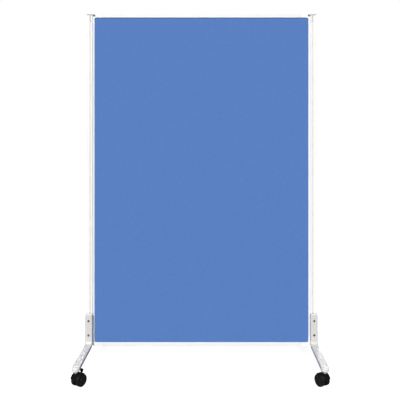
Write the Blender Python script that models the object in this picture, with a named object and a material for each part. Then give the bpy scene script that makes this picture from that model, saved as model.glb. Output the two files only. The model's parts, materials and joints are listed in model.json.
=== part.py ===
"""Mobile partition wall: a framed felt panel in two grooved posts, on four bent legs with twin-wheel casters.

Metres, +Z up, +X to the right seen from the front, and the front faces -Y. The origin is on the floor, midway
between the posts and midway between the front and rear casters.
"""

import math

import bmesh
import bpy
from mathutils import Matrix, Vector

MM = 0.001

# Whole object
POST_CENTRE_X = 0.596
LEG_CENTRE_X = 0.601
FRAME_BOTTOM = 0.092
FRAME_TOP = 1.880

# Posts: 36 mm deep, a side groove for the panel and a T-slot in the front and in the back
POST_HALF = 18 * MM
POST_INNER = 11.5 * MM
POST_TOP = 1.872
POST_BOTTOM = 0.114
GROOVE_BOTTOM = 7.5 * MM
GROOVE_HALF = 10.5 * MM
SLOT_HALF = 4 * MM
SLOT_LIP = 2 * MM
SLOT_FLOOR = 5.5 * MM
UNDERCUT_HALF = 6.5 * MM
CHAMBER_INNER = 5 * MM
CHAMBER_OUTER = 15.5 * MM
CHAMBER_HALF = 10 * MM
POST_CAP_HEIGHT = 4 * MM
POST_CAP_OVERHANG = 2 * MM
POST_CAP_INNER = 24 * MM
POST_PLUG_HEIGHT = 3 * MM
BOSS_DEPTH = 12 * MM
STRIP_STOP = 38 * MM

# Panel: two felt skins on a core board, in a channel frame with moulded corners
FRAME_HALF_WIDTH = 0.588
FRAME_HALF_DEPTH = 10 * MM
STILE_FACE = 12.5 * MM
RAIL_FACE = 20 * MM
CHANNEL_DEPTH = 10 * MM
CHANNEL_HALF = 6.5 * MM
PANEL_INSERTION = 8 * MM
CORE_HALF = 4.7 * MM
FELT_INNER = 5 * MM
FELT_OUTER = 6.2 * MM
CORNER_LEG = 55 * MM
CORNER_RADIUS = 12 * MM
CORNER_FILLET = 9 * MM
PEG_RADIUS = 3.5 * MM
PEG_LENGTH = 5 * MM
PEG_INSET = 45 * MM

# Legs: a 38 x 20 mm tube that runs down the post, bends and runs out to its nose, dropping slightly
LEG_HALF_WIDTH = 19 * MM
LEG_HALF_DEPTH = 10 * MM
LEG_CORNER = 4 * MM
LEG_WALL = 2 * MM
LEG_TOP = 0.273
LEG_END_TOP = 0.099
LEG_BEND = 25 * MM
LEG_DROP = math.radians(3.6)
LEG_DOME = 7 * MM
NOSE_END = 0.307
NOSE_START = 0.2783
NOSE_SHANK = 16 * MM
SLEEVE_RADIUS = 9 * MM
SLEEVE_BOTTOM = 70.5 * MM

# Bolts: M6, two on each side, through front leg, post and rear leg
BOLT_HEIGHTS = (0.161, 0.237)
BOLT_RADIUS = 3 * MM
BOLT_HOLE = 3.4 * MM
BOLT_HEAD_RADIUS = 5.5 * MM
BOLT_HEAD_HEIGHT = 3.6 * MM
NUT_RADIUS = 5.8 * MM

# Casters: 60 mm twin wheels that trail 20 mm behind an 11 mm stem
STEM_Y = 0.288
STEM_RADIUS = 5.5 * MM
STEM_BORE = 5.9 * MM
WHEEL_RADIUS = 30 * MM
WHEEL_INNER = 7.6 * MM
WHEEL_OUTER = 24.3 * MM
TRAIL = 20 * MM
AXLE_RADIUS = 3 * MM
WEB_HALF = 6.8 * MM
HOOD_INNER = 31.2 * MM
HOOD_OUTER = 33.6 * MM
SOCKET_TOP = 66.5 * MM
CASTER_YAW = 60
LEVER_SWING_RADIUS = 26 * MM
LEVER_ANGLE = 52
LEVER_LEAN = 80
LEVER_LENGTH = 25 * MM
LEVER_PAD = 13 * MM

GAP = 0.3 * MM


def clear_scene():
    for obj in list(bpy.data.objects):
        bpy.data.objects.remove(obj)


def material(name, colour, roughness, metallic=0.0):
    made = bpy.data.materials.new(name)
    made.use_nodes = True
    shader = made.node_tree.nodes["Principled BSDF"]
    shader.inputs["Base Color"].default_value = (*colour, 1)
    shader.inputs["Roughness"].default_value = roughness
    shader.inputs["Metallic"].default_value = metallic
    return made


def make_materials():
    return {
        "felt": material("blue_felt", (0.09, 0.2, 0.62), 0.95),
        "core": material("core_board", (0.62, 0.52, 0.38), 0.9),
        "white_metal": material("white_powder_coat", (0.86, 0.87, 0.86), 0.35),
        "white_plastic": material("white_plastic", (0.84, 0.84, 0.82), 0.45),
        "grey_plastic": material("grey_plastic", (0.52, 0.52, 0.5), 0.5),
        "zinc": material("zinc_plated_steel", (0.6, 0.61, 0.62), 0.3, 1.0),
        "black_steel": material("blackened_steel", (0.2, 0.205, 0.21), 0.4, 1.0),
        "black_plastic": material("black_nylon", (0.01, 0.01, 0.012), 0.5),
        "tyre": material("black_tread", (0.012, 0.012, 0.014), 0.6),
    }


def mesh_from(bm, name, smooth_angle=None):
    bmesh.ops.recalc_face_normals(bm, faces=bm.faces)
    mesh = bpy.data.meshes.new(name)
    bm.to_mesh(mesh)
    bm.free()
    if smooth_angle is not None:
        mesh.shade_smooth()
        mesh.set_sharp_from_angle(angle=math.radians(smooth_angle))
    return mesh


def place(name, mesh, look, location=(0, 0, 0), turn=0.0, parent=None):
    """A named object for a mesh, turned about Z, with its own material."""
    obj = bpy.data.objects.new(name, mesh)
    bpy.context.scene.collection.objects.link(obj)
    obj.location = location
    obj.rotation_euler = (0, 0, turn)
    obj.parent = parent
    obj.data.materials.clear()
    obj.data.materials.append(look)
    return obj


def prism(outline, axis, low, high):
    """A closed mesh: the outline, in the two axes other than `axis`, swept from low to high."""
    def point(a, b, along):
        return {"X": (along, a, b), "Y": (a, along, b), "Z": (a, b, along)}[axis]

    bm = bmesh.new()
    ends = [[bm.verts.new(point(a, b, along)) for a, b in outline] for along in (low, high)]
    bm.faces.new(ends[0])
    bm.faces.new(ends[1])
    for i in range(len(outline)):
        j = (i + 1) % len(outline)
        bm.faces.new((ends[0][i], ends[0][j], ends[1][j], ends[1][i]))
    return mesh_from(bm, "prism")


def block(low, high):
    corners = ((low[0], low[1]), (high[0], low[1]), (high[0], high[1]), (low[0], high[1]))
    return prism(corners, "Z", low[2], high[2])


def turned(profile, axis="Z", steps=24, smooth_angle=40):
    """A closed mesh: (radius, height) points turned about `axis`. A profile off the axis closes on itself."""
    bm = bmesh.new()
    rings = []
    for radius, height in profile:
        count = steps if radius > 0 else 1
        turns = [2 * math.pi * k / steps for k in range(count)]
        rings.append([bm.verts.new((radius * math.cos(t), radius * math.sin(t), height)) for t in turns])
    pairs = list(zip(rings, rings[1:]))
    if len(rings[0]) > 1:
        pairs.append((rings[-1], rings[0]))
    for first, second in pairs:
        for k in range(steps):
            n = (k + 1) % steps
            corners = [ring[i % len(ring)] for ring, i in ((first, k), (first, n), (second, n), (second, k))]
            bm.faces.new(list(dict.fromkeys(corners)))
    if axis == "Y":
        bmesh.ops.transform(bm, matrix=Matrix.Rotation(math.radians(-90), 4, "X"), verts=bm.verts)
    return mesh_from(bm, "turned", smooth_angle)


def rod(radius, low, high, axis="Z", steps=20):
    return turned(((0, low), (radius, low), (radius, high), (0, high)), axis, steps)


def moved(mesh, x=0.0, y=0.0, z=0.0):
    mesh.transform(Matrix.Translation((x, y, z)))
    return mesh


def combined(base, steps, smooth_angle=None):
    """The base mesh after each (operation, mesh) of steps, by exact Booleans."""
    base_object = bpy.data.objects.new("base", base)
    helpers = [base_object]
    for operation, mesh in steps:
        helper = bpy.data.objects.new("helper", mesh)
        helpers.append(helper)
        modifier = base_object.modifiers.new(operation.lower(), "BOOLEAN")
        modifier.operation = operation
        modifier.object = helper
        modifier.solver = "EXACT"
    for helper in helpers:
        bpy.context.scene.collection.objects.link(helper)
    graph = bpy.context.evaluated_depsgraph_get()
    result = bpy.data.meshes.new_from_object(base_object.evaluated_get(graph))
    for helper in helpers:
        bpy.data.objects.remove(helper)
    if smooth_angle is not None:
        result.shade_smooth()
        result.set_sharp_from_angle(angle=math.radians(smooth_angle))
    return result


def arc(centre, radius, start, end, count):
    """Points on an arc, with start and end in degrees."""
    turns = [math.radians(start + (end - start) * k / (count - 1)) for k in range(count)]
    return [(centre[0] + radius * math.cos(t), centre[1] + radius * math.sin(t)) for t in turns]


def rounded_section(half_width, half_depth, radius):
    corners = ((1, 1, 0), (-1, 1, 90), (-1, -1, 180), (1, -1, 270))
    points = []
    for side, end, start in corners:
        centre = (side * (half_width - radius), end * (half_depth - radius))
        points += arc(centre, radius, start, start + 90, 3)
    return points


def peg(radius, height, low, high):
    """A round bar along X at the given height."""
    return prism(arc((0, height), radius, 0, 330, 12), "X", min(low, high), max(low, high))


def post_mesh(side):
    """The post's section swept up, less its chamber, bolt holes and peg holes. The groove faces the panel."""
    lip = POST_HALF - SLOT_LIP
    floor = POST_HALF - SLOT_FLOOR
    slot = (
        (SLOT_HALF, POST_HALF),
        (SLOT_HALF, lip),
        (UNDERCUT_HALF, lip),
        (UNDERCUT_HALF, floor),
        (-UNDERCUT_HALF, floor),
        (-UNDERCUT_HALF, lip),
        (-SLOT_HALF, lip),
        (-SLOT_HALF, POST_HALF),
    )
    back = [(POST_HALF, POST_HALF), *slot, (-POST_INNER, POST_HALF)]
    groove = [
        (-POST_INNER, GROOVE_HALF),
        (-GROOVE_BOTTOM, GROOVE_HALF),
        (-GROOVE_BOTTOM, -GROOVE_HALF),
        (-POST_INNER, -GROOVE_HALF),
    ]
    front = [(x, -y) for x, y in reversed(back)]
    outline = [(side * x, y) for x, y in back + groove + front]
    edges = sorted((-side * CHAMBER_INNER, side * CHAMBER_OUTER))
    chamber = block((edges[0], -CHAMBER_HALF, 0), (edges[1], CHAMBER_HALF, POST_TOP + 1))
    cuts = [("DIFFERENCE", chamber)]
    bolt_x = side * (LEG_CENTRE_X - POST_CENTRE_X)
    for height in BOLT_HEIGHTS:
        drill = moved(rod(BOLT_HOLE, -2 * POST_HALF, 2 * POST_HALF, "Y"), bolt_x, z=height)
        cuts.append(("DIFFERENCE", drill))
    for height in (FRAME_BOTTOM + PEG_INSET, FRAME_TOP - PEG_INSET):
        cuts.append(("DIFFERENCE", peg(PEG_RADIUS + GAP, height, -side * POST_INNER, 0)))
    return combined(prism(outline, "Z", POST_BOTTOM, POST_TOP), cuts)


def boss_mesh(side, low, high):
    """The block on a cap or plug that fits the post's chamber."""
    inner = -side * (CHAMBER_INNER - 2 * GAP)
    outer = side * (CHAMBER_OUTER - 2 * GAP)
    half = CHAMBER_HALF - 2 * GAP
    return block((min(inner, outer), -half, low), (max(inner, outer), half, high))


def end_plate(side, inner, overhang, low, high):
    """A plate on a post's end, notched round the panel frame. It reaches `inner` towards the panel."""
    reach = POST_HALF + overhang
    half_outline = [(reach, reach), (-inner, reach), (-inner, GROOVE_HALF), (-GROOVE_BOTTOM, GROOVE_HALF)]
    outline = half_outline + [(x, -y) for x, y in reversed(half_outline)]
    return prism([(side * x, y) for x, y in outline], "Z", low, high)


def post_cap_mesh(side):
    """The post's cap: a plate that hugs the frame's corner, a boss, and a tongue down each slot."""
    low = POST_TOP + GAP
    plate = end_plate(side, POST_CAP_INNER, POST_CAP_OVERHANG, low, low + POST_CAP_HEIGHT)
    parts = [boss_mesh(side, low - BOSS_DEPTH, low + MM)]
    parts += [strip_mesh(end, POST_TOP - STRIP_STOP + GAP, low + MM) for end in (-1, 1)]
    return combined(plate, [("UNION", part) for part in parts])


def post_plug_mesh(side):
    high = POST_BOTTOM - GAP
    plate = end_plate(side, POST_INNER, 0, high - POST_PLUG_HEIGHT, high)
    return combined(plate, [("UNION", boss_mesh(side, high - MM, high + BOSS_DEPTH))])


def strip_mesh(end, low, high):
    """A T-shaped bar that fills a slot: end is -1 for the front slot and 1 for the rear one."""
    face = POST_HALF - 2 * GAP
    shoulder = POST_HALF - SLOT_LIP - GAP
    foot = shoulder - 1.7 * MM
    half = SLOT_HALF - GAP
    wing = UNDERCUT_HALF - GAP
    outline = [(-half, face), (half, face), (half, shoulder), (wing, shoulder)]
    outline += [(wing, foot), (-wing, foot), (-wing, shoulder), (-half, shoulder)]
    return prism([(x, end * y) for x, y in outline], "Z", low, high)


def build_posts(looks):
    for label, side in (("left", -1), ("right", 1)):
        here = (side * POST_CENTRE_X, 0, 0)
        place(f"{label}_post", post_mesh(side), looks["white_metal"], here)
        place(f"{label}_post_cap", post_cap_mesh(side), looks["grey_plastic"], here)
        place(f"{label}_post_plug", post_plug_mesh(side), looks["grey_plastic"], here)
        for face, end in (("front", -1), ("rear", 1)):
            strip = strip_mesh(end, LEG_TOP + 4 * MM, POST_TOP - STRIP_STOP)
            place(f"{label}_{face}_slot_strip", strip, looks["white_plastic"], here)


def channel_outline(inner, outer, channel_floor):
    """A U-shaped section that opens towards `inner`, in (across, depth)."""
    lip = [(inner, FRAME_HALF_DEPTH), (outer, FRAME_HALF_DEPTH)]
    slot = [(inner, -CHANNEL_HALF), (channel_floor, -CHANNEL_HALF)]
    return lip + [(x, -y) for x, y in reversed(lip)] + slot + [(x, -y) for x, y in reversed(slot)]


def corner_mesh(side, end):
    """A moulded corner with a peg for the post: side is -1 or 1 for left or right, end for bottom or top."""
    edge_x = side * FRAME_HALF_WIDTH
    edge_z = FRAME_TOP if end > 0 else FRAME_BOTTOM
    reach = CORNER_LEG
    fillet = CORNER_FILLET
    outer = arc((CORNER_RADIUS, CORNER_RADIUS), CORNER_RADIUS, 180, 270, 5)
    inner = arc((STILE_FACE + fillet, RAIL_FACE + fillet), fillet, 270, 180, 4)
    outline = outer + [(reach, 0), (reach, RAIL_FACE)] + inner + [(STILE_FACE, reach), (0, reach)]
    points = [(edge_x - side * a, edge_z - end * b) for a, b in outline]
    body = prism(points, "Y", -FRAME_HALF_DEPTH, FRAME_HALF_DEPTH)
    floor_x = FRAME_HALF_WIDTH - STILE_FACE + CHANNEL_DEPTH
    low = (-floor_x, -CHANNEL_HALF, FRAME_BOTTOM + RAIL_FACE - CHANNEL_DEPTH)
    high = (floor_x, CHANNEL_HALF, FRAME_TOP - RAIL_FACE + CHANNEL_DEPTH)
    pin = peg(PEG_RADIUS, edge_z - end * PEG_INSET, edge_x - side * 2 * MM, edge_x + side * PEG_LENGTH)
    return combined(body, [("DIFFERENCE", block(low, high)), ("UNION", pin)])


def build_panel(looks):
    inner_x = FRAME_HALF_WIDTH - STILE_FACE
    inner_top = FRAME_TOP - RAIL_FACE
    inner_bottom = FRAME_BOTTOM + RAIL_FACE
    bar_end = CORNER_LEG + GAP
    for label, side in (("left", -1), ("right", 1)):
        outline = channel_outline(inner_x, FRAME_HALF_WIDTH, inner_x + CHANNEL_DEPTH)
        outline = [(side * x, y) for x, y in outline]
        bar = prism(outline, "Z", FRAME_BOTTOM + bar_end, FRAME_TOP - bar_end)
        place(f"frame_{label}_stile", bar, looks["white_metal"])
        for height, end in (("bottom", -1), ("top", 1)):
            place(f"frame_{height}_{label}_corner", corner_mesh(side, end), looks["white_plastic"])
    span = FRAME_HALF_WIDTH - bar_end
    for label, outline in (
        ("top", channel_outline(inner_top, FRAME_TOP, inner_top + CHANNEL_DEPTH)),
        ("bottom", channel_outline(inner_bottom, FRAME_BOTTOM, inner_bottom - CHANNEL_DEPTH)),
    ):
        bar = prism([(y, z) for z, y in outline], "X", -span, span)
        place(f"frame_{label}_rail", bar, looks["white_metal"])

    edge_x = inner_x + PANEL_INSERTION
    low_z = inner_bottom - PANEL_INSERTION
    high_z = inner_top + PANEL_INSERTION
    for name, near, far, look in (
        ("core_board", -CORE_HALF, CORE_HALF, "core"),
        ("front_felt", -FELT_OUTER, -FELT_INNER, "felt"),
        ("rear_felt", FELT_INNER, FELT_OUTER, "felt"),
    ):
        place(name, block((-edge_x, near, low_z), (edge_x, far, high_z)), looks[look])


def leg_path():
    """(y, z, angle) along a front leg's centre line: the angle is how far it has bent from straight down."""
    back = POST_HALF + GAP + LEG_HALF_DEPTH
    last = math.pi / 2 - LEG_DROP
    end = (-(NOSE_START - GAP), LEG_END_TOP - LEG_HALF_DEPTH)
    bend_end_y = -(back + LEG_BEND) + LEG_BEND * math.cos(last)
    bend_end_z = end[1] + (bend_end_y - end[0]) * math.tan(LEG_DROP)
    centre = (-(back + LEG_BEND), bend_end_z + LEG_BEND * math.sin(last))
    path = [(-back, LEG_TOP - LEG_DOME, 0.0)]
    for k in range(7):
        angle = last * k / 6
        path.append((centre[0] + LEG_BEND * math.cos(angle), centre[1] - LEG_BEND * math.sin(angle), angle))
    path.append((*end, last))
    return path


def section_ring(bm, station, section):
    """The section's points across the path: its depth runs along the path's upper, outer side."""
    y, z, angle = station
    across = Vector((0, -math.cos(angle), math.sin(angle)))
    return [bm.verts.new(Vector((0, y, z)) + Vector((a, 0, 0)) + across * b) for a, b in section]


def skin(bm, rings):
    for first, second in zip(rings, rings[1:]):
        for i in range(len(first)):
            j = (i + 1) % len(first)
            bm.faces.new((first[i], first[j], second[j], second[i]))


def leg_mesh():
    """The front leg: a tube closed by a dome at its top and open at its nose, with its bolt holes."""
    bm = bmesh.new()
    stations = leg_path()
    dome = []
    for turn in (75, 50, 25):
        inset = LEG_DOME * 0.55 * (1 - math.cos(math.radians(turn)))
        rise = LEG_DOME * math.sin(math.radians(turn))
        section = rounded_section(LEG_HALF_WIDTH - inset, LEG_HALF_DEPTH - inset, LEG_CORNER - inset * 0.5)
        y, z, _ = stations[0]
        dome.append(section_ring(bm, (y, z + rise, 0.0), section))
    outer_section = rounded_section(LEG_HALF_WIDTH, LEG_HALF_DEPTH, LEG_CORNER)
    wall = LEG_WALL
    inner_section = rounded_section(LEG_HALF_WIDTH - wall, LEG_HALF_DEPTH - wall, LEG_CORNER - wall)
    outer = dome + [section_ring(bm, station, outer_section) for station in stations]
    inner = [section_ring(bm, station, inner_section) for station in stations]
    skin(bm, outer)
    skin(bm, inner)
    skin(bm, [outer[-1], inner[-1]])
    bm.faces.new(outer[0])
    bm.faces.new(inner[0])
    holes = []
    for height in BOLT_HEIGHTS:
        holes.append(("DIFFERENCE", moved(rod(BOLT_HOLE, -4 * POST_HALF, 0, "Y"), z=height)))
    return combined(mesh_from(bm, "leg"), holes, 35)


def nose_mesh():
    """The moulded end of a front leg: round in plan, with a shank in the tube and a sleeve for the stem."""
    bm = bmesh.new()
    height = 2 * LEG_HALF_DEPTH
    half_turn = LEG_CORNER * (1 - math.cos(math.radians(45)))
    levels = (
        (LEG_CORNER, 0),
        (half_turn, half_turn),
        (0, LEG_CORNER),
        (0, height - LEG_CORNER),
        (half_turn, height - half_turn),
        (LEG_CORNER, height),
    )
    floor = LEG_END_TOP - height
    centre_y = -(NOSE_END - LEG_HALF_WIDTH)
    rings = []
    for inset, rise in levels:
        radius = LEG_HALF_WIDTH - inset
        plan = arc((0, centre_y), radius, 180, 360, 11)
        plan += [(radius, -NOSE_START), (-radius, -NOSE_START)]
        rings.append([bm.verts.new((x, y, floor + rise)) for x, y in plan])
    skin(bm, rings)
    bm.faces.new(rings[0])
    bm.faces.new(rings[-1])
    body = mesh_from(bm, "nose")
    level = LEG_END_TOP - LEG_HALF_DEPTH
    shank_half = (LEG_HALF_WIDTH - LEG_WALL - MM, LEG_HALF_DEPTH - LEG_WALL - MM)
    shank = block(
        (-shank_half[0], -NOSE_START - 2 * MM, level - shank_half[1]),
        (shank_half[0], -NOSE_START + NOSE_SHANK, level + shank_half[1]),
    )
    joint = Matrix.Translation((0, -NOSE_START, level))
    for tilted in (body, shank):
        tilted.transform(joint @ Matrix.Rotation(LEG_DROP, 4, "X") @ joint.inverted())
    sleeve = moved(rod(SLEEVE_RADIUS, SLEEVE_BOTTOM, floor + 2 * MM), y=-STEM_Y)
    bore = moved(rod(STEM_BORE, SLEEVE_BOTTOM - MM, LEG_END_TOP - 3 * MM), y=-STEM_Y)
    return combined(body, [("UNION", shank), ("UNION", sleeve), ("DIFFERENCE", bore)], 35)


def build_legs(looks):
    leg = leg_mesh()
    nose = nose_mesh()
    for label, side in (("left", -1), ("right", 1)):
        for face, end in (("front", -1), ("rear", 1)):
            here = (side * LEG_CENTRE_X, 0, 0)
            turn = 0.0 if end < 0 else math.pi
            place(f"{face}_{label}_leg", leg, looks["white_metal"], here, turn)
            place(f"{face}_{label}_leg_nose", nose, looks["white_plastic"], here, turn)


def bolt_mesh():
    """A socket-head bolt along Y, its head at the front."""
    face = POST_HALF + GAP + 2 * LEG_HALF_DEPTH + GAP
    head = face + BOLT_HEAD_HEIGHT
    edge = BOLT_HEAD_RADIUS - 1.2 * MM
    profile = (
        (0, -head + 2 * MM),
        (2.5 * MM, -head + 2 * MM),
        (2.5 * MM, -head),
        (edge, -head),
        (BOLT_HEAD_RADIUS, -head + 1.5 * MM),
        (BOLT_HEAD_RADIUS, -face),
        (BOLT_RADIUS, -face),
        (BOLT_RADIUS, face + 6.5 * MM),
        (0, face + 6.5 * MM),
    )
    return turned(profile, "Y", 16)


def nut_mesh():
    """A six-sided cap nut along Y, on the rear leg."""
    face = POST_HALF + GAP + 2 * LEG_HALF_DEPTH + GAP
    bore = 4 * MM
    profile = (
        (0, face + 10 * MM),
        (4.2 * MM, face + 8.6 * MM),
        (NUT_RADIUS, face + 5 * MM),
        (NUT_RADIUS, face),
        (bore, face),
        (bore, face + 7.2 * MM),
        (0, face + 7.2 * MM),
    )
    return turned(profile, "Y", 6, 25)


def build_bolts(looks):
    bolt = bolt_mesh()
    nut = nut_mesh()
    for label, side in (("left", -1), ("right", 1)):
        for place_name, height in zip(("lower", "upper"), BOLT_HEIGHTS):
            here = (side * LEG_CENTRE_X, 0, height)
            place(f"{label}_{place_name}_bolt", bolt, looks["black_steel"], here)
            place(f"{label}_{place_name}_cap_nut", nut, looks["zinc"], here)


def stem_mesh():
    """The caster's steel stem: it stands in the leg's nose, and the housing turns on it."""
    collar_top = SLEEVE_BOTTOM - GAP
    collar_low = collar_top - 3 * MM
    profile = (
        (0, 46 * MM),
        (STEM_RADIUS, 46 * MM),
        (STEM_RADIUS, collar_low),
        (8 * MM, collar_low),
        (8 * MM, collar_top),
        (STEM_RADIUS, collar_top),
        (STEM_RADIUS, LEG_END_TOP - 4 * MM),
        (0, LEG_END_TOP - 4 * MM),
    )
    return turned(profile, "Z", 20)


def lever_pivot():
    turn = math.radians(LEVER_ANGLE)
    return (TRAIL + LEVER_SWING_RADIUS * math.cos(turn), WHEEL_RADIUS + LEVER_SWING_RADIUS * math.sin(turn))


def housing_mesh():
    """The caster's housing: a web between the wheels, a hood over them, and a socket for the stem."""
    axle = (TRAIL, WHEEL_RADIUS)
    web = arc(axle, HOOD_INNER + MM, 16, 176, 15) + arc(axle, WHEEL_RADIUS - 8 * MM, 190, 370, 13)
    hood = arc(axle, HOOD_OUTER, 64, 164, 13) + arc(axle, HOOD_INNER, 164, 64, 13)
    column = block((-7.5 * MM, -WEB_HALF, 38 * MM), (9 * MM, WEB_HALF, SOCKET_TOP))
    pivot_x, pivot_z = lever_pivot()
    slot_half = 4.6 * MM
    slot = block(
        (pivot_x - 4.2 * MM, -slot_half, pivot_z - 4.2 * MM),
        (pivot_x + 20 * MM, slot_half, pivot_z + 20 * MM),
    )
    steps = (
        ("UNION", prism(hood, "Y", -WHEEL_OUTER, WHEEL_OUTER)),
        ("UNION", column),
        ("UNION", rod(8.4 * MM, 59.5 * MM, SOCKET_TOP)),
        ("DIFFERENCE", rod(STEM_BORE, 45 * MM, SOCKET_TOP + MM)),
        ("DIFFERENCE", moved(rod(AXLE_RADIUS + GAP, -20 * MM, 20 * MM, "Y", 16), x=TRAIL, z=WHEEL_RADIUS)),
        ("DIFFERENCE", slot),
        ("DIFFERENCE", moved(rod(2 * MM, -20 * MM, 20 * MM, "Y", 12), x=pivot_x, z=pivot_z)),
    )
    return combined(prism(web, "Y", -WEB_HALF, WEB_HALF), steps, 30)


def wheel_mesh(side):
    """One wheel of the pair, about its own axle line: side is 1 for the wheel at +Y."""
    tread = WHEEL_RADIUS
    profile = (
        (AXLE_RADIUS + 0.4 * MM, WHEEL_INNER),
        (tread - MM, WHEEL_INNER),
        (tread, WHEEL_INNER + 1.2 * MM),
        (tread, WHEEL_OUTER - 2 * MM),
        (tread - 2 * MM, WHEEL_OUTER),
        (tread - 6 * MM, WHEEL_OUTER),
        (tread - 7 * MM, WHEEL_OUTER - 1.5 * MM),
        (AXLE_RADIUS + 0.4 * MM, WHEEL_OUTER - 1.5 * MM),
    )
    return turned([(radius, side * height) for radius, height in profile], "Y", 24, 40)


def lever_mesh():
    """The brake lever about its own pivot line: a barrel with its pin, an arm, and a wider tread pad."""
    lean = math.radians(LEVER_LEAN)
    along = Vector((math.cos(lean), math.sin(lean)))
    over = Vector((-along.y, along.x))
    half = 2.1 * MM

    def bar(start, end):
        corners = ((start, -half), (end, -half), (end, half), (start, half))
        return [tuple(along * a + over * b) for a, b in corners]

    steps = (
        ("UNION", rod(3.2 * MM, -4.2 * MM, 4.2 * MM, "Y", 12)),
        ("UNION", prism(bar(0, LEVER_LENGTH), "Y", -4.2 * MM, 4.2 * MM)),
        ("UNION", prism(bar(LEVER_LENGTH - LEVER_PAD, LEVER_LENGTH + MM), "Y", -8.5 * MM, 8.5 * MM)),
    )
    return combined(rod(1.6 * MM, -WEB_HALF + GAP, WEB_HALF - GAP, "Y", 12), steps)


def build_casters(looks):
    stem = stem_mesh()
    housing = housing_mesh()
    axle = rod(AXLE_RADIUS, -WHEEL_OUTER + MM, WHEEL_OUTER - MM, "Y", 16)
    wheels = {"left": wheel_mesh(1), "right": wheel_mesh(-1)}
    lever = lever_mesh()
    pivot_x, pivot_z = lever_pivot()
    for label, side in (("left", -1), ("right", 1)):
        for face, end in (("front", -1), ("rear", 1)):
            name = f"{face}_{label}_caster"
            swivel = bpy.data.objects.new(f"{name}_swivel", None)
            bpy.context.scene.collection.objects.link(swivel)
            swivel.location = (side * LEG_CENTRE_X, end * STEM_Y, 0)
            yaw = math.radians(CASTER_YAW)
            swivel.rotation_euler = (0, 0, math.atan2(-end * math.sin(yaw), -side * math.cos(yaw)))
            place(f"{name}_stem", stem, looks["zinc"], parent=swivel)
            place(f"{name}_housing", housing, looks["black_plastic"], parent=swivel)
            at_axle = (TRAIL, 0, WHEEL_RADIUS)
            place(f"{name}_axle", axle, looks["zinc"], at_axle, parent=swivel)
            for hand, wheel in wheels.items():
                place(f"{name}_{hand}_wheel", wheel, looks["tyre"], at_axle, parent=swivel)
            if side == end:
                at_pivot = (pivot_x, 0, pivot_z)
                place(f"{name}_brake_lever", lever, looks["black_plastic"], at_pivot, parent=swivel)


def main():
    clear_scene()
    looks = make_materials()
    build_panel(looks)
    build_posts(looks)
    build_legs(looks)
    build_bolts(looks)
    build_casters(looks)


main()
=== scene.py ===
"""The looks of the mobile partition wall: felt, powder coat, moulded plastic, casters, camera and light.

Metres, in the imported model's frame: +X to the right, the front faces -Y, +Z up, and the floor is at zero.
"""

import json
import math

import bmesh
import bpy
from mathutils import Matrix, Vector, noise

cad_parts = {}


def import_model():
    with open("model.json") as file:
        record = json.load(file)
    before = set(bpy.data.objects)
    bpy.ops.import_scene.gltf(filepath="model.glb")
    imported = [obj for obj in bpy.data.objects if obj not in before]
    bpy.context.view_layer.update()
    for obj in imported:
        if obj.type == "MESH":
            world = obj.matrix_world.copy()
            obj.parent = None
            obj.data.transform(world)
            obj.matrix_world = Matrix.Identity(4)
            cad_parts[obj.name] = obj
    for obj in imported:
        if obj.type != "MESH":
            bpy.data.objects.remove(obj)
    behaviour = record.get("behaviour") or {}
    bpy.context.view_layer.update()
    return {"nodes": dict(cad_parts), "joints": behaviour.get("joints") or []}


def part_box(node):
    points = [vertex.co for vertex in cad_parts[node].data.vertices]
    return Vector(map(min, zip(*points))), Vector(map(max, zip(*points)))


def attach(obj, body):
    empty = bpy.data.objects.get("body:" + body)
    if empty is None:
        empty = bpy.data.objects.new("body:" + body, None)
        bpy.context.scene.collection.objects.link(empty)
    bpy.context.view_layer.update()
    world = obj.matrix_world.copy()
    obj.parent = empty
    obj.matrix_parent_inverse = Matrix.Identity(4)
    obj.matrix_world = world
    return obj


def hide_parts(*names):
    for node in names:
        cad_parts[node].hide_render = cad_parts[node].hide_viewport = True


MM = 0.001
FACES = (("front", -1), ("rear", 1))
SIDES = (("left", -1), ("right", 1))
ENDS = (("bottom", -1), ("top", 1))

# Camera and light
EYE_DISTANCE = 2.7
FOCAL_PER_WIDTH = 1.2495
EYE_ACROSS = 0.05
EYE_HEIGHT = 1.1254
SHIFT_ACROSS = -0.0269
SHIFT_UP = -0.1148
SENSOR = 36
AMBIENT = 0.14
FLOOR_REACH = 60
FLOOR_GLOW = 0.9

# Felt
FELT_CELLS = (150, 220)
FELT_TUCK = 8 * MM
FELT_SWELL = 0.7 * MM
FELT_EDGE_RUN = 22 * MM

# Metal sections and their edges
SECTION_EDGE = 0.7 * MM
FRAME_EDGE = 1.3 * MM
CORNER_EDGE = 1.3 * MM
CAP_EDGE = 0.8 * MM
STRIP_EDGE = 0.25 * MM
WELD_DISTANCE = 4e-6

# Legs: the tube, the nose and the bolts through them
GAP = 0.3 * MM
TUBE_HALF_DEPTH = 10 * MM
TUBE_CORNER = 4.6 * MM
TUBE_WALL = 2 * MM
BEND_RADIUS = 25 * MM
LEG_DROP = math.radians(3.6)
DOME_RISE = 7 * MM
NOSE_EDGE = 4 * MM
SLEEVE_RADIUS = 9 * MM
BOLT_RADIUS = 3 * MM
BOLT_HOLE = 3.4 * MM
BOLT_HEAD = 3.6 * MM

# Casters: sizes about the stem and about the axle
STEM_RADIUS = 5.5 * MM
STEM_BORE = 5.9 * MM
COLLAR = 3 * MM
WHEEL_RADIUS = 30 * MM
WHEEL_INNER = 7.6 * MM
WHEEL_OUTER = 24.3 * MM
AXLE_BORE = 3.3 * MM
WEB_HALF = 6.8 * MM
HOOD_INNER = 31.2 * MM
HOOD_OUTER = 33.6 * MM
LEVER_SWING_RADIUS = 26 * MM
LEVER_ANGLE = math.radians(52)
LEVER_LEAN = math.radians(80)
LEVER_LENGTH = 25 * MM
LEVER_PAD = 13 * MM
LEVER_HALF = 2.1 * MM


# ---------------------------------------------------------------- materials


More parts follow.
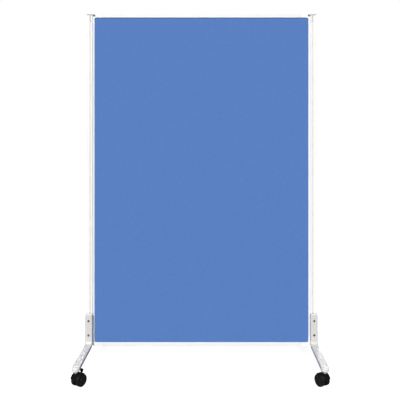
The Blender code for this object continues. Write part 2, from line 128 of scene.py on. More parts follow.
def new_material(name, colour, roughness, metallic=0.0):
    """A node material and its shader."""
    made = bpy.data.materials.new(name)
    made.use_nodes = True
    shader = made.node_tree.nodes["Principled BSDF"]
    shader.inputs["Base Color"].default_value = (*colour, 1)
    shader.inputs["Roughness"].default_value = roughness
    shader.inputs["Metallic"].default_value = metallic
    made.diffuse_color = (*colour, 1)
    return made, shader


def add_node(made, kind, **inputs):
    """A node of the material with its named inputs linked, when given a socket, or set."""
    tree = made.node_tree
    node = tree.nodes.new(kind)
    for name, value in inputs.items():
        socket = node.inputs[name.replace("_", " ")]
        if isinstance(value, bpy.types.NodeSocket):
            tree.links.new(value, socket)
        else:
            socket.default_value = value
    return node


def object_point(made, stretch=(1, 1, 1)):
    """The point on the piece in metres, stretched along its axes."""
    coordinates = made.node_tree.nodes.new("ShaderNodeTexCoord")
    mapping = add_node(made, "ShaderNodeMapping", Vector=coordinates.outputs["Object"])
    mapping.inputs["Scale"].default_value = stretch
    return mapping.outputs["Vector"]


def noise_at(made, scale, detail=2.0, stretch=(1, 1, 1), distortion=0.0):
    point = object_point(made, stretch)
    settings = {"Scale": scale, "Detail": detail, "Distortion": distortion}
    return add_node(made, "ShaderNodeTexNoise", Vector=point, **settings).outputs["Fac"]


def ramp(made, factor, low, high, dark, light):
    """Colours from dark to light as the factor goes from low to high."""
    node = add_node(made, "ShaderNodeValToRGB", Fac=factor)
    first, last = node.color_ramp.elements
    first.position, last.position = low, high
    first.color, last.color = (*dark, 1), (*light, 1)
    return node.outputs["Color"]


def spread(made, factor, low, high):
    """The factor mapped from 0.3 to 0.7 onto low to high."""
    node = add_node(made, "ShaderNodeMapRange", Value=factor)
    node.inputs["From Min"].default_value = 0.3
    node.inputs["From Max"].default_value = 0.7
    node.inputs["To Min"].default_value = low
    node.inputs["To Max"].default_value = high
    return node.outputs["Result"]


def blended(made, factor, first, second, blend_type="MIX"):
    node = made.node_tree.nodes.new("ShaderNodeMix")
    node.data_type = "RGBA"
    node.blend_type = blend_type
    for socket, value in zip((node.inputs[0], node.inputs[6], node.inputs[7]), (factor, first, second)):
        if isinstance(value, bpy.types.NodeSocket):
            made.node_tree.links.new(value, socket)
        else:
            socket.default_value = value
    return node.outputs[2]


def bump(made, shader, height, distance, strength=1.0, below=None):
    """Adds relief of that depth to the shader, on top of the relief below. Returns its normal."""
    node = add_node(made, "ShaderNodeBump", Height=height, Distance=distance, Strength=strength)
    if below is not None:
        made.node_tree.links.new(below, node.inputs["Normal"])
    made.node_tree.links.new(node.outputs["Normal"], shader.inputs["Normal"])
    return node.outputs["Normal"]


def shaded(colour, factor):
    return tuple(min(1.0, channel * factor) for channel in colour)


def felt_material():
    """Needled felt: matted fibres lying every way, lighter and darker ones mixed, and a soft nap."""
    blue = (0.088, 0.19, 0.475)
    made, shader = new_material("needled_felt", blue, 0.92)
    fine = noise_at(made, 1500, 3, distortion=0.6)
    across = noise_at(made, 900, 2, (1, 1, 0.12), 1.2)
    along = noise_at(made, 900, 2, (0.12, 1, 1), 1.2)
    fibres = blended(made, 0.5, across, along)
    matted = blended(made, 0.5, fibres, fine)
    clumps = noise_at(made, 70, 4)
    fibre_colour = ramp(made, matted, 0.36, 0.64, shaded(blue, 0.86), shaded(blue, 1.13))
    clump_colour = ramp(made, clumps, 0.3, 0.7, (0.955, 0.96, 0.965), (1, 1, 1))
    colour = blended(made, 1.0, fibre_colour, clump_colour, "MULTIPLY")
    made.node_tree.links.new(colour, shader.inputs["Base Color"])
    low = bump(made, shader, clumps, 0.5 * MM, 0.25)
    bump(made, shader, matted, 0.35 * MM, 0.5, low)
    shader.inputs["Specular IOR Level"].default_value = 0.25
    shader.inputs["Sheen Weight"].default_value = 0.18
    shader.inputs["Sheen Roughness"].default_value = 0.45
    shader.inputs["Sheen Tint"].default_value = (0.45, 0.6, 1, 1)
    return made


def coated_metal(name, colour, scuffs=0.0):
    """Powder coat: a fine orange peel with small changes in gloss, and grey scuffs where asked."""
    made, shader = new_material(name, colour, 0.36)
    peel = noise_at(made, 1100, 2)
    patches = noise_at(made, 9, 3)
    tint = ramp(made, patches, 0.3, 0.7, shaded(colour, 0.975), colour)
    if scuffs:
        marks = noise_at(made, 140, 5, (1, 1, 0.35), 1.5)
        worn = ramp(made, marks, 0.66, 0.74, (1, 1, 1), (0.8, 0.79, 0.77))
        tint = blended(made, scuffs, tint, worn, "MULTIPLY")
    made.node_tree.links.new(tint, shader.inputs["Base Color"])
    made.node_tree.links.new(spread(made, patches, 0.32, 0.4), shader.inputs["Roughness"])
    bump(made, shader, peel, 0.06 * MM, 0.35)
    shader.inputs["Coat Weight"].default_value = 0.05
    shader.inputs["Coat Roughness"].default_value = 0.3
    return made


def moulded_plastic(name, colour, roughness, dust=0.0, shine=0.5):
    """Moulded plastic with a spark-eroded grain, and dust where asked."""
    made, shader = new_material(name, colour, roughness)
    shader.inputs["Specular IOR Level"].default_value = shine
    texture = noise_at(made, 900, 3)
    patches = noise_at(made, 35, 3)
    tint = ramp(made, patches, 0.3, 0.7, shaded(colour, 0.93), shaded(colour, 1.05))
    if dust:
        film = noise_at(made, 220, 5, distortion=0.8)
        cover = ramp(made, film, 0.5, 0.78, (0, 0, 0), (dust, dust, dust))
        tint = blended(made, cover, tint, (0.3, 0.28, 0.26, 1))
    made.node_tree.links.new(tint, shader.inputs["Base Color"])
    gloss = spread(made, patches, roughness - 0.05, roughness + 0.07)
    made.node_tree.links.new(gloss, shader.inputs["Roughness"])
    bump(made, shader, texture, 0.05 * MM, 0.4)
    return made


def tread_material():
    """Hard nylon tread: rolled smooth, with faint rings and grey wear."""
    black = (0.005, 0.005, 0.006)
    made, shader = new_material("nylon_tread", black, 0.5)
    wear = noise_at(made, 260, 5, distortion=1.0)
    colour = ramp(made, wear, 0.5, 0.8, black, (0.022, 0.021, 0.02))
    made.node_tree.links.new(colour, shader.inputs["Base Color"])
    made.node_tree.links.new(spread(made, wear, 0.42, 0.66), shader.inputs["Roughness"])
    bump(made, shader, wear, 0.12 * MM, 0.5)
    shader.inputs["Specular IOR Level"].default_value = 0.2
    return made


def plated_steel(name, colour, roughness):
    """Plated steel with fine turning marks and a slightly blotched shine."""
    made, shader = new_material(name, colour, roughness, 1.0)
    turning = noise_at(made, 900, 2, (1, 1, 6))
    blotches = noise_at(made, 160, 3)
    tint = ramp(made, blotches, 0.3, 0.7, shaded(colour, 0.82), colour)
    made.node_tree.links.new(tint, shader.inputs["Base Color"])
    gloss = spread(made, blotches, roughness - 0.06, roughness + 0.12)
    made.node_tree.links.new(gloss, shader.inputs["Roughness"])
    bump(made, shader, turning, 0.03 * MM, 0.5)
    return made


def board_material():
    """Pressed fibreboard."""
    brown = (0.62, 0.52, 0.38)
    made, shader = new_material("fibreboard", brown, 0.9)
    fibres = noise_at(made, 700, 5)
    colour = ramp(made, fibres, 0.3, 0.7, shaded(brown, 0.75), shaded(brown, 1.15))
    made.node_tree.links.new(colour, shader.inputs["Base Color"])
    bump(made, shader, fibres, 0.2 * MM, 0.5)
    return made


def make_looks():
    """Each look: its material and the record's slot that it stands for."""
    white = (0.88, 0.885, 0.88)
    nylon = moulded_plastic("black_nylon", (0.004, 0.004, 0.005), 0.5, dust=0.02, shine=0.15)
    return {
        "felt": (felt_material(), "felt"),
        "board": (board_material(), "core_board"),
        "post": (coated_metal("powder_coat_posts", white), "white_metal"),
        "frame": (coated_metal("powder_coat_frame", (0.83, 0.84, 0.835)), "white_metal"),
        "leg": (coated_metal("powder_coat_legs", (0.64, 0.62, 0.6), 0.3), "white_metal"),
        "corner": (moulded_plastic("white_corner_moulding", (0.88, 0.89, 0.89), 0.42), "white_plastic"),
        "strip": (moulded_plastic("slot_strip_extrusion", (0.74, 0.74, 0.71), 0.5), "white_plastic"),
        "nose": (moulded_plastic("white_nose_moulding", (0.83, 0.82, 0.8), 0.4, dust=0.25), "white_plastic"),
        "cap": (moulded_plastic("grey_cap_moulding", (0.56, 0.56, 0.54), 0.5), "grey_plastic"),
        "caster": (nylon, "black_plastic"),
        "tread": (tread_material(), "tyre"),
        "zinc": (plated_steel("zinc_plate", (0.6, 0.61, 0.62), 0.3), "zinc_steel"),
        "bolt": (plated_steel("blackened_steel", (0.2, 0.205, 0.21), 0.4), "black_steel"),
    }


# ---------------------------------------------------------------- mesh tools


def finish_mesh(bm, name, smooth_angle=35):
    bmesh.ops.recalc_face_normals(bm, faces=bm.faces)
    mesh = bpy.data.meshes.new(name)
    bm.to_mesh(mesh)
    bm.free()
    mesh.shade_smooth()
    mesh.set_sharp_from_angle(angle=math.radians(smooth_angle))
    return mesh


def show(name, mesh, look, body, *nodes):
    """A piece in its place that rides on a body and stands for the CAD nodes."""
    material, slot = look
    piece = bpy.data.objects.new(name, mesh)
    bpy.context.scene.collection.objects.link(piece)
    mesh.materials.clear()
    mesh.materials.append(material)
    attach(piece, body)
    if nodes:
        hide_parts(*nodes)
    return piece


def baked(piece):
    """The piece's mesh becomes what its modifiers make of it."""
    graph = bpy.context.evaluated_depsgraph_get()
    mesh = bpy.data.meshes.new_from_object(piece.evaluated_get(graph))
    piece.modifiers.clear()
    piece.data = mesh
    return piece


def eased(frame, node, look, width, name=None, segments=3, body="stand"):
    """A CAD node's own shape with its edges rounded over by `width`."""
    bm = bmesh.new()
    bm.from_mesh(frame["nodes"][node].data)
    bmesh.ops.remove_doubles(bm, verts=bm.verts, dist=WELD_DISTANCE)
    bmesh.ops.dissolve_limit(bm, angle_limit=math.radians(1), verts=bm.verts, edges=bm.edges)
    piece = show(name or f"{node}_shell", finish_mesh(bm, node), look, body, node)
    modifier = piece.modifiers.new("edges", "BEVEL")
    modifier.width = width
    modifier.segments = segments
    modifier.limit_method = "ANGLE"
    modifier.angle_limit = math.radians(35)
    modifier.harden_normals = True
    return baked(piece)


def ring_of(bm, points):
    return [bm.verts.new(point) for point in points]


def skin(bm, rings, closed=True):
    """Faces between each ring and the next."""
    for first, second in zip(rings, rings[1:]):
        count = len(first)
        for i in range(count if closed else count - 1):
            j = (i + 1) % count
            bm.faces.new((first[i], first[j], second[j], second[i]))


def turned(profile, steps=48, smooth_angle=35, name="turned", shaped=None):
    """A closed mesh: (radius, height) points turned about Z. A profile off the axis closes on itself.

    shaped(index, radius, height, turn) may move the points of the profile's ring of that index.
    """
    bm = bmesh.new()
    rings = []
    for index, (radius, height) in enumerate(profile):
        if radius == 0:
            rings.append([bm.verts.new((0, 0, height))])
            continue
        ring = []
        for k in range(steps):
            turn = 2 * math.pi * k / steps
            r, z = shaped(index, radius, height, turn) if shaped else (radius, height)
            ring.append((r * math.cos(turn), r * math.sin(turn), z))
        rings.append(ring_of(bm, ring))
    pairs = list(zip(rings, rings[1:]))
    if len(rings[0]) > 1:
        pairs.append((rings[-1], rings[0]))
    for first, second in pairs:
        for k in range(steps):
            n = (k + 1) % steps
            corners = ((first, k), (first, n), (second, n), (second, k))
            bm.faces.new(list(dict.fromkeys(ring[i % len(ring)] for ring, i in corners)))
    return finish_mesh(bm, name, smooth_angle)


def rounded_section(half_width, half_depth, radius, steps=8):
    """A rectangle with round corners, counted round from its +, + corner."""
    corners = ((1, 1, 0), (-1, 1, 90), (-1, -1, 180), (1, -1, 270))
    points = []
    for side, end, start in corners:
        for k in range(steps + 1):
            turn = math.radians(start + 90 * k / steps)
            x = side * (half_width - radius) + radius * math.cos(turn)
            y = end * (half_depth - radius) + radius * math.sin(turn)
            points.append((x, y))
    return points


def extruded(outline, axis, low, high):
    """A closed mesh: the outline, in the two axes other than `axis`, swept from low to high."""

    def point(a, b, along):
        return {"X": (along, a, b), "Y": (a, along, b), "Z": (a, b, along)}[axis]

    bm = bmesh.new()
    ends = [ring_of(bm, [point(a, b, along) for a, b in outline]) for along in (low, high)]
    bm.faces.new(ends[0])
    bm.faces.new(ends[1])
    skin(bm, ends)
    return finish_mesh(bm, "extruded")


def arc(centre, radius, start, end, count):
    """Points on an arc, with start and end in degrees."""
    turns = [math.radians(start + (end - start) * k / (count - 1)) for k in range(count)]
    return [(centre[0] + radius * math.cos(t), centre[1] + radius * math.sin(t)) for t in turns]


def cylinder(radius, low, high, axis="Z", steps=48):
    mesh = turned(((0, low), (radius, low), (radius, high), (0, high)), steps)
    if axis == "Y":
        mesh.transform(Matrix.Rotation(math.radians(-90), 4, "X"))
    return mesh


def moved(mesh, x=0.0, y=0.0, z=0.0):
    mesh.transform(Matrix.Translation((x, y, z)))
    return mesh


def combined(base, steps, edge=0.0, segments=3):
    """The base mesh after each (operation, mesh) of steps, with its edges then rounded over."""
    piece = bpy.data.objects.new("base", base)
    helpers = [piece]
    for operation, mesh in steps:
        helper = bpy.data.objects.new("helper", mesh)
        helpers.append(helper)
        modifier = piece.modifiers.new(operation.lower(), "BOOLEAN")
        modifier.operation = operation
        modifier.object = helper
        modifier.solver = "EXACT"
    for helper in helpers:
        bpy.context.scene.collection.objects.link(helper)
    if edge:
        modifier = piece.modifiers.new("edges", "BEVEL")
        modifier.width = edge
        modifier.segments = segments
        modifier.limit_method = "ANGLE"
        modifier.angle_limit = math.radians(40)
        modifier.harden_normals = True
    graph = bpy.context.evaluated_depsgraph_get()
    result = bpy.data.meshes.new_from_object(piece.evaluated_get(graph))
    for helper in helpers:
        bpy.data.objects.remove(helper)
    result.shade_smooth()
    result.set_sharp_from_angle(angle=math.radians(35))
    return result


# ---------------------------------------------------------------- panel


def felt_sheet(face, end, looks):
    """A felt skin stretched on the board: it swells a little between the lips that hold its edges."""
    node = f"{face}_felt"
    low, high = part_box(node)
    outside, inside = (low.y, high.y) if end < 0 else (high.y, low.y)
    across, up = FELT_CELLS
    bm = bmesh.new()
    grids = []
    for depth, swells in ((outside, True), (inside, False)):
        rows = []
        for j in range(up + 1):
            z = low.z + (high.z - low.z) * j / up
            rows.append([])
            for i in range(across + 1):
                x = low.x + (high.x - low.x) * i / across
                lift = felt_lift(x, z, low, high, end) if swells else 0.0
                rows[-1].append(bm.verts.new((x, depth + end * lift, z)))
        skin(bm, rows, closed=False)
        grids.append(rows)
    border = [edge_loop(rows) for rows in grids]
    skin(bm, border)
    piece = show(f"{face}_felt_skin", finish_mesh(bm, node, 60), looks["felt"], "stand", node)


def edge_loop(rows):
    """The vertices round a grid's edge, in order."""
    sides = [row[-1] for row in rows[1:-1]]
    back = [row[0] for row in reversed(rows[1:-1])]
    return rows[0] + sides + list(reversed(rows[-1])) + back


def felt_lift(x, z, low, high, end):
    """How far the felt stands proud at a point: nothing under the lips, and gently uneven in the open."""
    edge = min(x - low.x, high.x - x, z - low.z, high.z - z) - FELT_TUCK
    share = max(0.0, min(1.0, edge / FELT_EDGE_RUN))
    rise = math.sin(share * math.pi / 2)
    broad = noise.noise(Vector((x * 3.1, end * 2.0, z * 3.1)))
    small = noise.noise(Vector((x * 16.0, end * 5.0, z * 16.0)))
    return rise * (FELT_SWELL + 0.25 * MM * broad + 0.07 * MM * small)


def build_panel(frame, looks):
    for face, end in FACES:
        felt_sheet(face, end, looks)
    frame["nodes"]["core_board"].data.materials.clear()
    frame["nodes"]["core_board"].data.materials.append(looks["board"][0])
    for label, _ in SIDES:
        eased(frame, f"frame_{label}_stile", looks["frame"], FRAME_EDGE)
        for height, _ in ENDS:
            eased(frame, f"frame_{height}_{label}_corner", looks["corner"], CORNER_EDGE)
    for height, _ in ENDS:
        eased(frame, f"frame_{height}_rail", looks["frame"], FRAME_EDGE)


# ---------------------------------------------------------------- posts, legs and bolts


def build_posts(frame, looks):
    for label, _ in SIDES:
        eased(frame, f"{label}_post", looks["post"], SECTION_EDGE)
        eased(frame, f"{label}_post_cap", looks["cap"], CAP_EDGE)
        eased(frame, f"{label}_post_plug", looks["cap"], CAP_EDGE)
        for face, _ in FACES:
            eased(frame, f"{label}_{face}_slot_strip", looks["strip"], STRIP_EDGE)


def leg_sizes():
    """The leg tube's own sizes, from the front left leg. Its run to the nose drops slightly."""
    low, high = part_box("front_left_leg")
    return {
        "half_width": (high.x - low.x) / 2,
        "top": high.z,
        "back": high.y - TUBE_HALF_DEPTH,
        "end_y": low.y + TUBE_HALF_DEPTH * math.sin(LEG_DROP),
        "end_z": low.z + TUBE_HALF_DEPTH * math.cos(LEG_DROP),
        "centre_x": (low.x + high.x) / 2,
    }


def leg_mesh(size, bolt_heights):
    """A front leg about X zero: a bent tube with a domed top, open at its nose, drilled for the bolts."""
    half_width, back = size["half_width"], size["back"]
    last = math.pi / 2 - LEG_DROP
    bend_end_y = back - BEND_RADIUS * (1 - math.cos(last))
    bend_end_z = size["end_z"] + (bend_end_y - size["end_y"]) * math.tan(LEG_DROP)
    centre = (back - BEND_RADIUS, bend_end_z + BEND_RADIUS * math.sin(last))
    shoulder = size["top"] - DOME_RISE
    stations = [(back, shoulder - k * 20 * MM, 0.0) for k in range(6)]
    for k in range(17):
        angle = last * k / 16
        y = centre[0] + BEND_RADIUS * math.cos(angle)
        stations.append((y, centre[1] - BEND_RADIUS * math.sin(angle), angle))
    for k in range(1, 9):
        y = bend_end_y + (size["end_y"] - bend_end_y) * k / 8
        stations.append((y, bend_end_z + (y - bend_end_y) * math.tan(LEG_DROP), last))

    bm = bmesh.new()

    def ring(y, z, angle, section):
        across = Vector((0, -math.cos(angle), math.sin(angle)))
        return ring_of(bm, [Vector((0, y, z)) + Vector((a, 0, 0)) + across * b for a, b in section])

    outer = []
    for k in range(9, 0, -1):
        turn = math.radians(9 * k)
        inset = DOME_RISE * 0.6 * (1 - math.cos(turn))
        section = rounded_section(half_width - inset, TUBE_HALF_DEPTH - inset, TUBE_CORNER - inset * 0.5)
        outer.append(ring(back, shoulder + DOME_RISE * math.sin(turn), 0.0, section))
    wide = rounded_section(half_width, TUBE_HALF_DEPTH, TUBE_CORNER)
    narrow = rounded_section(half_width - TUBE_WALL, TUBE_HALF_DEPTH - TUBE_WALL, TUBE_CORNER - TUBE_WALL)
    outer += [ring(y, z, angle, wide) for y, z, angle in stations]
    inner = [ring(y, z, angle, narrow) for y, z, angle in stations]
    skin(bm, outer)
    skin(bm, inner)
    skin(bm, [outer[-1], inner[-1]])
    bm.faces.new(outer[0])
    bm.faces.new(inner[0])
    drills = [moved(cylinder(BOLT_HOLE, -0.1, 0.1, "Y", 32), z=height) for height in bolt_heights]
    return combined(finish_mesh(bm, "leg"), [("DIFFERENCE", drill) for drill in drills])


def nose_mesh(size):
    """A front nose about X zero: round in plan, every edge rounded, with its sleeve for the caster's stem."""
    sleeve_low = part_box("front_left_leg_nose")[0].z
    stem_low, stem_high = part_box("front_left_caster_stem")
    stem_y = (stem_low.y + stem_high.y) / 2
    start = size["end_y"] - GAP
    floor = size["end_z"] - TUBE_HALF_DEPTH
    edge = NOSE_EDGE
    bm = bmesh.new()
    rings = []
    turns = [math.radians(90 * k / 6) for k in range(7)]
    levels = [(edge * (1 - math.sin(t)), edge * (1 - math.cos(t))) for t in turns]
    levels += [(inset, 2 * TUBE_HALF_DEPTH - rise) for inset, rise in reversed(levels)]
    for inset, rise in levels:
        radius = size["half_width"] - inset
        plan = arc((0, stem_y), radius, 180, 360, 33) + [(radius, start), (-radius, start)]
        rings.append(ring_of(bm, [(x, y, floor + rise) for x, y in plan]))
    skin(bm, rings)
    bm.faces.new(rings[0])
    bm.faces.new(rings[-1])
    body = finish_mesh(bm, "nose")
    joint = Matrix.Translation((0, start, size["end_z"]))
    body.transform(joint @ Matrix.Rotation(LEG_DROP, 4, "X") @ joint.inverted())
    radius, bevel, flare = SLEEVE_RADIUS, 0.8 * MM, 2.5 * MM
    sleeve = turned(
        (
            (0, sleeve_low),
            (radius - bevel, sleeve_low),
            (radius, sleeve_low + bevel),
            (radius, floor - 3 * MM),
            (radius + flare, floor - 0.5 * MM),
            (radius + flare, floor + 2 * MM),
            (0, floor + 2 * MM),
        )
    )
    bore = cylinder(STEM_BORE, sleeve_low - MM, stem_high.z + MM)
    return combined(body, [("UNION", moved(sleeve, y=stem_y)), ("DIFFERENCE", moved(bore, y=stem_y))])


def build_legs(looks):
    size = leg_sizes()
    bolts = [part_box(f"left_{place}_bolt") for place in ("lower", "upper")]
    heights = [(low.z + high.z) / 2 for low, high in bolts]
    leg = leg_mesh(size, heights)
    nose = nose_mesh(size)
    for face, end in FACES:
        turn = Matrix.Rotation(0 if end < 0 else math.pi, 4, "Z")
        for label, side in SIDES:
            here = Matrix.Translation((-side * size["centre_x"], 0, 0)) @ turn
            for mesh, kind, look in ((leg, "leg", "leg"), (nose, "leg_nose", "nose")):
                node = f"{face}_{label}_{kind}"
                copy = mesh.copy()
                copy.transform(here)
                show(f"{node}_shell", copy, looks[look], "stand", node)


def fastener(profile, hexed_rings):
    """A turned mesh, some of whose rings are hexagons, along Y with +height towards +Y."""

    def shaped(index, radius, height, turn):
        if index not in hexed_rings:
            return radius, height
        sector = (turn + math.pi / 6) % (math.pi / 3) - math.pi / 6
        return radius * math.cos(math.pi / 6) / math.cos(sector), height

    mesh = turned(profile, smooth_angle=30, name="fastener", shaped=shaped)
    mesh.transform(Matrix.Rotation(math.radians(-90), 4, "X"))
    return mesh


def bolt_mesh(low, high):
    """A socket-head bolt along Y, its head at low.y with a domed edge."""
    head = (high.z - low.z) / 2
    dome = 1.6 * MM
    face = low.y + BOLT_HEAD
    profile = [(0, low.y + 2.2 * MM), (2.6 * MM, low.y + 2.2 * MM), (2.8 * MM, low.y + 0.2 * MM)]
    profile += [(3.2 * MM, low.y)]
    for k in range(7):
        turn = math.radians(90 - 15 * k)
        profile.append((head - dome * (1 - math.cos(turn)), low.y + dome * (1 - math.sin(turn))))
    profile += [(head, face), (BOLT_RADIUS, face)]
    profile += [(BOLT_RADIUS, high.y - 0.6 * MM), (BOLT_RADIUS - 0.5 * MM, high.y), (0, high.y)]
    return fastener(profile, (1, 2))


def nut_mesh(low, high):
    """A cap nut along Y: a hexagon at low.y with a dome over the bolt's end."""
    hexagon = (high.x - low.x) / 2
    bore, depth = 4 * MM, 7.2 * MM
    profile = [(0, low.y + depth), (bore, low.y + depth), (bore, low.y), (hexagon, low.y)]
    profile += [(hexagon, low.y + 4.6 * MM)]
    for k in range(9):
        turn = math.radians(10 * k)
        profile.append((4.9 * MM * math.cos(turn), low.y + 5 * MM + 5 * MM * math.sin(turn)))
    return fastener(profile + [(0, high.y)], (3, 4))


def build_bolts(looks):
    for label, _ in SIDES:
        for place in ("lower", "upper"):
            for kind, shape, look, suffix in (
                ("bolt", bolt_mesh, "bolt", "socket_head"),
                ("cap_nut", nut_mesh, "zinc", "dome"),
            ):
                node = f"{label}_{place}_{kind}"
                low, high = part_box(node)
                centre = (low + high) / 2
                mesh = moved(shape(low, high), x=centre.x, z=centre.z)
                show(f"{node}_{suffix}", mesh, looks[look], "stand", node)


# ---------------------------------------------------------------- casters


def wheel_mesh(hand):
    """A wheel about its axle line: a crowned tread, a dished face with six ribs, and a hub cap."""
    tread, inner, outer, bore = WHEEL_RADIUS, WHEEL_INNER, WHEEL_OUTER, 3.4 * MM
    profile = [(0, outer - 0.9 * MM), (bore, outer - 0.9 * MM), (bore, inner), (11 * MM, inner)]
    profile += [(12 * MM, inner + 1.2 * MM), (25 * MM, inner + 1.2 * MM), (26 * MM, inner)]
    profile += [(28.8 * MM, inner), (29.6 * MM, inner + 0.4 * MM), (tread, inner + 1.2 * MM)]
    profile += [(tread, outer - 3.5 * MM), (29.7 * MM, outer - 1.9 * MM), (28.9 * MM, outer - 0.7 * MM)]
    profile += [(27.6 * MM, outer), (25.8 * MM, outer), (25.1 * MM, outer - 0.3 * MM)]
    profile += [(24.8 * MM, outer - MM)]
    dish_start = len(profile)
    profile += [((24.4 - 1.1 * k) * MM, outer - 2.6 * MM) for k in range(12)]
    ribbed = range(dish_start + 1, len(profile) - 1)
    profile += [(11.6 * MM, outer - 1.6 * MM), (11.2 * MM, outer - 0.7 * MM), (10.2 * MM, outer - 0.2 * MM)]
    profile += [(8 * MM, outer - 0.1 * MM), (4 * MM, outer), (0, outer)]

    def shaped(index, radius, height, turn):
        rib = max(0.0, math.cos(6 * turn) - 0.72) / 0.28 if index in ribbed else 0.0
        return radius, height + 1.5 * MM * min(1.0, 2 * rib)

    mesh = turned(profile, 96, 40, "wheel", shaped)
    mesh.transform(Matrix.Rotation(math.radians(-90 if hand == "left" else 90), 4, "X"))
    return mesh


def lever_pivot(trail, axle_height):
    across = LEVER_SWING_RADIUS * math.cos(LEVER_ANGLE)
    return trail + across, axle_height + LEVER_SWING_RADIUS * math.sin(LEVER_ANGLE)


def housing_mesh(trail, axle_height, top):
    """The caster's housing about its swivel: a web between the wheels, a hood, and a socket for the stem."""
    axle = (trail, axle_height)
    web = arc(axle, HOOD_INNER + MM, 16, 176, 60) + arc(axle, WHEEL_RADIUS - 8 * MM, 190, 370, 60)
    hood = arc(axle, HOOD_OUTER, 64, 164, 48) + arc(axle, HOOD_INNER, 164, 64, 48)
    half = WEB_HALF
    column_outline = rounded_section(8.25 * MM, half, 2 * MM)
    column = extruded([(x + 0.75 * MM, y) for x, y in column_outline], "Z", 38 * MM, top)
    pivot_x, pivot_z = lever_pivot(trail, axle_height)
    near, far = -4.2 * MM, 20 * MM
    slot_corners = ((near, near), (far, near), (far, far), (near, far))
    slot_outline = [(pivot_x + x, pivot_z + z) for x, z in slot_corners]
    slot = extruded(slot_outline, "Y", -4.6 * MM, 4.6 * MM)
    steps = (
        ("UNION", extruded(hood, "Y", -WHEEL_OUTER, WHEEL_OUTER)),
        ("UNION", column),
        ("UNION", cylinder(8.4 * MM, 59.5 * MM, top)),
        ("DIFFERENCE", cylinder(STEM_BORE, 45 * MM, top + MM)),
        ("DIFFERENCE", moved(cylinder(AXLE_BORE, -0.02, 0.02, "Y"), x=trail, z=axle_height)),
        ("DIFFERENCE", slot),
        ("DIFFERENCE", moved(cylinder(2 * MM, -0.02, 0.02, "Y", 24), x=pivot_x, z=pivot_z)),
    )
    return combined(extruded(web, "Y", -half, half), steps, 0.5 * MM, 2)


def lever_mesh():
    """The brake lever about its pivot: a barrel and its pin, an arm, and a ribbed pad."""
    along = Vector((math.cos(LEVER_LEAN), math.sin(LEVER_LEAN)))
    over = Vector((-along.y, along.x))
    length, half = LEVER_LENGTH, LEVER_HALF

    def bar(start, end, low, high):
        corners = ((start, low), (end, low), (end, high), (start, high))
        return [tuple(along * a + over * b) for a, b in corners]

    steps = [
        ("UNION", cylinder(1.6 * MM, -6.5 * MM, 6.5 * MM, "Y", 24)),
        ("UNION", extruded(bar(0, length, -half, half), "Y", -4.2 * MM, 4.2 * MM)),
        ("UNION", extruded(bar(length - LEVER_PAD, length + MM, -half, half), "Y", -8.5 * MM, 8.5 * MM)),
    ]
    for k in range(3):
        start = length - (10.6 - 3.6 * k) * MM
        rib = bar(start, start + 1.3 * MM, -half - 0.5 * MM, -half + 0.5 * MM)
        steps.append(("UNION", extruded(rib, "Y", -7.3 * MM, 7.3 * MM)))
    return combined(cylinder(3.2 * MM, -4.2 * MM, 4.2 * MM, "Y", 40), steps, 0.3 * MM, 2)


def stem_mesh(low, high, collar_top):
    """The stem about Z: a collar under the sleeve, and a groove for the grip ring."""
    shaft = STEM_RADIUS
    profile = (
        (0, low),
        (shaft - 0.6 * MM, low),
        (shaft, low + 0.6 * MM),
        (shaft, collar_top - COLLAR),
        (7.6 * MM, collar_top - COLLAR),
        (8 * MM, collar_top - COLLAR + 0.4 * MM),
        (8 * MM, collar_top - 0.4 * MM),
        (7.6 * MM, collar_top),
        (shaft, collar_top),
        (shaft, high - 9 * MM),
        (shaft - 0.8 * MM, high - 8.6 * MM),
        (shaft - 0.8 * MM, high - 6.4 * MM),
        (shaft, high - 6 * MM),
        (shaft, high - MM),
        (shaft - MM, high),
        (0, high),
    )
    return turned(profile)


def caster_place(joints, name):
    """Where a caster stands and points, how far its axle trails the stem, and the axle's height."""
    hub = Vector(joints[f"{name}_swivel"]["pos_m"])
    axle = Vector(joints[f"{name}_left_wheel_spin"]["pos_m"])
    turn = math.atan2(axle.y - hub.y, axle.x - hub.x)
    here = Matrix.Translation((hub.x, hub.y, 0)) @ Matrix.Rotation(turn, 4, "Z")
    return here, (axle - hub).xy.length, axle.z


def build_casters(frame, looks):
    """Four casters from one set of meshes, sized on the front left one. Only some have a brake lever."""
    joints = {joint["name"]: joint for joint in frame["joints"]}
    model = "front_left_caster"
    _, trail, axle_height = caster_place(joints, model)
    stem_low, stem_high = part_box(f"{model}_stem")
    collar_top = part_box("front_left_leg_nose")[0].z - GAP
    stem = stem_mesh(stem_low.z, stem_high.z, collar_top)
    housing = housing_mesh(trail, axle_height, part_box(f"{model}_housing")[1].z)
    wheels = {hand: wheel_mesh(hand) for hand in ("left", "right")}
    lever = lever_mesh()
    for face, _ in FACES:
        for label, _ in SIDES:
            name = f"{face}_{label}_caster"
            here, trail, axle_height = caster_place(joints, name)
            pieces = [
                (f"{name}_stem", stem, (0, 0, 0), "zinc", "stand"),
                (f"{name}_housing", housing, (0, 0, 0), "caster", name),
            ]
            for hand, wheel in wheels.items():
                node = f"{name}_{hand}_wheel"
                pieces.append((node, wheel, (trail, 0, axle_height), "tread", node))
            node = f"{name}_brake_lever"
            if node in frame["nodes"]:
                pivot_x, pivot_z = lever_pivot(trail, axle_height)
                pieces.append((node, lever, (pivot_x, 0, pivot_z), "caster", node))
            for node, mesh, shift, look, body in pieces:
                copy = mesh.copy()
                copy.transform(here @ Matrix.Translation(shift))
                show(f"{node}_shell", copy, looks[look], body, node)
            axle = frame["nodes"][f"{name}_axle"]
            axle.data.materials.clear()
            axle.data.materials.append(looks["zinc"][0])


# ---------------------------------------------------------------- stage


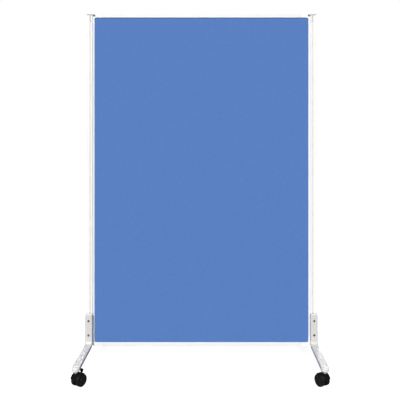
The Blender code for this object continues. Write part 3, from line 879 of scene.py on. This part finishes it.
def seen_directly(tree, low, high):
    """A value that is high where something is seen directly, and low in the light that it sheds."""
    path = tree.nodes.new("ShaderNodeLightPath")
    level = tree.nodes.new("ShaderNodeMapRange")
    level.inputs["To Min"].default_value = low
    level.inputs["To Max"].default_value = high
    tree.links.new(path.outputs["Is Camera Ray"], level.inputs["Value"])
    return level.outputs["Result"]


def build_stage():
    """A pale floor that fades into the studio's white, with faint shadows under the casters."""
    reach = FLOOR_REACH
    mesh = bpy.data.meshes.new("floor")
    outline = [(-reach, -reach, 0), (reach, -reach, 0), (reach, reach, 0), (-reach, reach, 0)]
    mesh.from_pydata(outline, [], [(0, 1, 2, 3)])
    floor = bpy.data.objects.new("floor", mesh)
    bpy.context.scene.collection.objects.link(floor)
    material, shader = new_material("pale_floor", (0.32, 0.32, 0.32), 0.9)
    tree = material.node_tree
    shader.inputs["Emission Color"].default_value = (1, 1, 1, 1)
    tree.links.new(seen_directly(tree, 0.0, FLOOR_GLOW), shader.inputs["Emission Strength"])
    shader.inputs["Specular IOR Level"].default_value = 0.0
    mesh.materials.append(material)


def sun(name, azimuth, elevation, strength, softness):
    """A distant soft light: azimuth 0 shines from the front, below 0 from the left, and 180 from behind."""
    data = bpy.data.lights.new(name, "SUN")
    data.energy = strength
    data.angle = math.radians(softness)
    light = bpy.data.objects.new(name, data)
    bpy.context.scene.collection.objects.link(light)
    light.rotation_euler = (math.radians(90 - elevation), 0, math.radians(azimuth))


def build_lights():
    world = bpy.data.worlds.new("studio")
    world.use_nodes = True
    tree = world.node_tree
    background = tree.nodes["Background"]
    background.inputs["Color"].default_value = (1, 1, 1, 1)
    tree.links.new(seen_directly(tree, AMBIENT, 1.0), background.inputs["Strength"])
    bpy.context.scene.world = world
    sun("key", -8, 38, 3.68, 18)
    sun("rim", 180, 15, 2.4, 30)


def build_camera():
    data = bpy.data.cameras.new("camera")
    data.sensor_width = SENSOR
    data.lens = FOCAL_PER_WIDTH * SENSOR
    data.shift_x = SHIFT_ACROSS
    data.shift_y = SHIFT_UP
    camera = bpy.data.objects.new("camera", data)
    bpy.context.scene.collection.objects.link(camera)
    camera.location = (EYE_ACROSS, -EYE_DISTANCE, EYE_HEIGHT)
    camera.rotation_euler = (math.pi / 2, 0, 0)
    bpy.context.scene.camera = camera


def corners(bounds):
    return [[float(value) for value in corner] for corner in bounds]


def main():
    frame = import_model()
    bpy.context.scene.view_settings.view_transform = "Standard"
    looks = make_looks()
    build_camera()
    build_lights()
    build_stage()
    build_panel(frame, looks)
    build_posts(frame, looks)
    build_legs(looks)
    build_bolts(looks)
    build_casters(frame, looks)


main()
